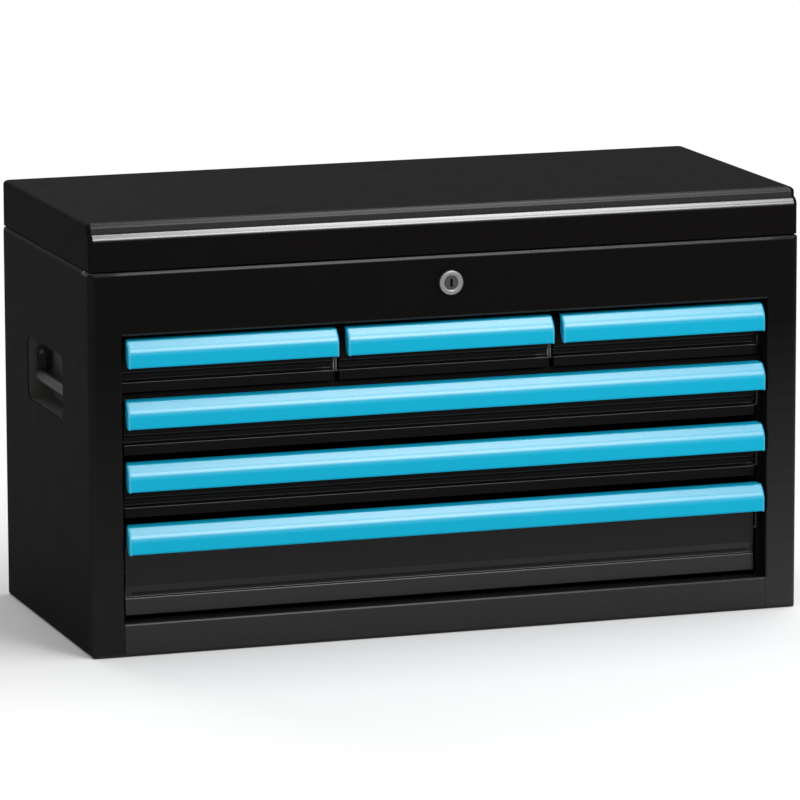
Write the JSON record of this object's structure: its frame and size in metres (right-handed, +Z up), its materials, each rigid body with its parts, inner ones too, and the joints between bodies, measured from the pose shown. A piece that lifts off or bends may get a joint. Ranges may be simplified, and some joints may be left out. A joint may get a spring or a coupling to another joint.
{
  "type": "portable tool box with drawers",
  "caption": "Sheet-steel portable tool box with a hinged lid over a till, a cam lock, small and wide drawers on ball runners with full-width pulls, and sunken side handles.",
  "frame": {"origin": "middle of the underside of the whole box, pulls and hinge included", "axes": "+X to the right along the width, -Y out of the drawer fronts, +Z up"},
  "size_m": [0.6, 0.276, 0.3479],
  "materials": {
    "black_paint": "semi-gloss black powder coat",
    "inside_paint": "satin black powder coat",
    "zinc_plate": "bright zinc plate",
    "bright_steel": "ground steel",
    "chrome": "bright chrome",
    "handle_cup_finish": "satin dark grey",
    "handle_grip_finish": "satin grey",
    "blue_pull": "satin cyan blue"
  },
  "bodies": {
    "cabinet": {"side_panel_left": "black_paint", "side_panel_right": "black_paint", "back_panel": "black_paint", "bottom_panel": "black_paint", "front_header": "black_paint", "till_floor": "inside_paint", "drawer_shelf": "inside_paint", "partition_left": "inside_paint", "partition_right": "inside_paint", "runner_posts": "inside_paint", "wide_cabinet_runners": "zinc_plate", "small_cabinet_runners": "zinc_plate", "handle_cup_left": "handle_cup_finish", "handle_cup_right": "handle_cup_finish", "handle_pins": "bright_steel", "lock_housing": "chrome", "lock_nut": "zinc_plate", "back_hinge_leaf": "zinc_plate", "hinge_pin": "bright_steel"},
    "lid": {"lid_shell": "black_paint", "lid_strike": "zinc_plate", "lid_hinge_leaf": "zinc_plate"},
    "lock_barrel": {"lock_plug": "chrome", "lock_cam": "zinc_plate", "cam_screw": "bright_steel"},
    "left_bail": {"handle_bail_left": "handle_grip_finish"},
    "right_bail": {"handle_bail_right": "handle_grip_finish"},
    "left_drawer": {"left_drawer_tray": "inside_paint", "left_drawer_front": "black_paint", "left_drawer_pull": "blue_pull", "left_drawer_sliders": "zinc_plate"},
    "centre_drawer": {"centre_drawer_tray": "inside_paint", "centre_drawer_front": "black_paint", "centre_drawer_pull": "blue_pull", "centre_drawer_sliders": "zinc_plate"},
    "right_drawer": {"right_drawer_tray": "inside_paint", "right_drawer_front": "black_paint", "right_drawer_pull": "blue_pull", "right_drawer_sliders": "zinc_plate"},
    "upper_drawer": {"upper_drawer_tray": "inside_paint", "upper_drawer_front": "black_paint", "upper_drawer_pull": "blue_pull", "upper_drawer_sliders": "zinc_plate"},
    "middle_drawer": {"middle_drawer_tray": "inside_paint", "middle_drawer_front": "black_paint", "middle_drawer_pull": "blue_pull", "middle_drawer_sliders": "zinc_plate"},
    "deep_drawer": {"deep_drawer_tray": "inside_paint", "deep_drawer_front": "black_paint", "deep_drawer_pull": "blue_pull", "deep_drawer_sliders": "zinc_plate"},
    "left_ball_cages": {"left_drawer_ball_cages": "bright_steel"},
    "centre_ball_cages": {"centre_drawer_ball_cages": "bright_steel"},
    "right_ball_cages": {"right_drawer_ball_cages": "bright_steel"},
    "upper_ball_cages": {"upper_drawer_ball_cages": "bright_steel"},
    "middle_ball_cages": {"middle_drawer_ball_cages": "bright_steel"},
    "deep_ball_cages": {"deep_drawer_ball_cages": "bright_steel"}
  },
  "joints": [
    {"name": "lid_hinge", "type": "hinge", "parent": "cabinet", "child": "lid", "pos_m": [0, 0.135, 0.3109], "axis": [-1, 0, 0], "range_deg": [0, 95]},
    {"name": "lock_turn", "type": "hinge", "parent": "cabinet", "child": "lock_barrel", "pos_m": [0, -0.1335, 0.28676], "axis": [0, -1, 0], "range_deg": [0, 90]},
    {"name": "left_bail_swing", "type": "hinge", "parent": "cabinet", "child": "left_bail", "pos_m": [-0.29, 0.0015, 0.217], "axis": [0, 1, 0], "range_deg": [0, 90]},
    {"name": "right_bail_swing", "type": "hinge", "parent": "cabinet", "child": "right_bail", "pos_m": [0.29, 0.0015, 0.217], "axis": [0, -1, 0], "range_deg": [0, 90]},
    {"name": "left_drawer_slide", "type": "slide", "parent": "cabinet", "child": "left_drawer", "axis": [0, -1, 0], "range_m": [0, 0.165]},
    {"name": "centre_drawer_slide", "type": "slide", "parent": "cabinet", "child": "centre_drawer", "axis": [0, -1, 0], "range_m": [0, 0.165]},
    {"name": "right_drawer_slide", "type": "slide", "parent": "cabinet", "child": "right_drawer", "axis": [0, -1, 0], "range_m": [0, 0.165]},
    {"name": "upper_drawer_slide", "type": "slide", "parent": "cabinet", "child": "upper_drawer", "axis": [0, -1, 0], "range_m": [0, 0.165]},
    {"name": "middle_drawer_slide", "type": "slide", "parent": "cabinet", "child": "middle_drawer", "axis": [0, -1, 0], "range_m": [0, 0.165]},
    {"name": "deep_drawer_slide", "type": "slide", "parent": "cabinet", "child": "deep_drawer", "axis": [0, -1, 0], "range_m": [0, 0.165]},
    {"name": "left_cage_slide", "type": "slide", "parent": "cabinet", "child": "left_ball_cages", "axis": [0, -1, 0], "range_m": [0, 0.083]},
    {"name": "centre_cage_slide", "type": "slide", "parent": "cabinet", "child": "centre_ball_cages", "axis": [0, -1, 0], "range_m": [0, 0.083]},
    {"name": "right_cage_slide", "type": "slide", "parent": "cabinet", "child": "right_ball_cages", "axis": [0, -1, 0], "range_m": [0, 0.083]},
    {"name": "upper_cage_slide", "type": "slide", "parent": "cabinet", "child": "upper_ball_cages", "axis": [0, -1, 0], "range_m": [0, 0.083]},
    {"name": "middle_cage_slide", "type": "slide", "parent": "cabinet", "child": "middle_ball_cages", "axis": [0, -1, 0], "range_m": [0, 0.083]},
    {"name": "deep_cage_slide", "type": "slide", "parent": "cabinet", "child": "deep_ball_cages", "axis": [0, -1, 0], "range_m": [0, 0.083]}
  ],
  "couplings": [
    {"joint": "left_cage_slide", "follows": "left_drawer_slide", "ratio": 0.5},
    {"joint": "centre_cage_slide", "follows": "centre_drawer_slide", "ratio": 0.5},
    {"joint": "right_cage_slide", "follows": "right_drawer_slide", "ratio": 0.5},
    {"joint": "upper_cage_slide", "follows": "upper_drawer_slide", "ratio": 0.5},
    {"joint": "middle_cage_slide", "follows": "middle_drawer_slide", "ratio": 0.5},
    {"joint": "deep_cage_slide", "follows": "deep_drawer_slide", "ratio": 0.5}
  ]
}
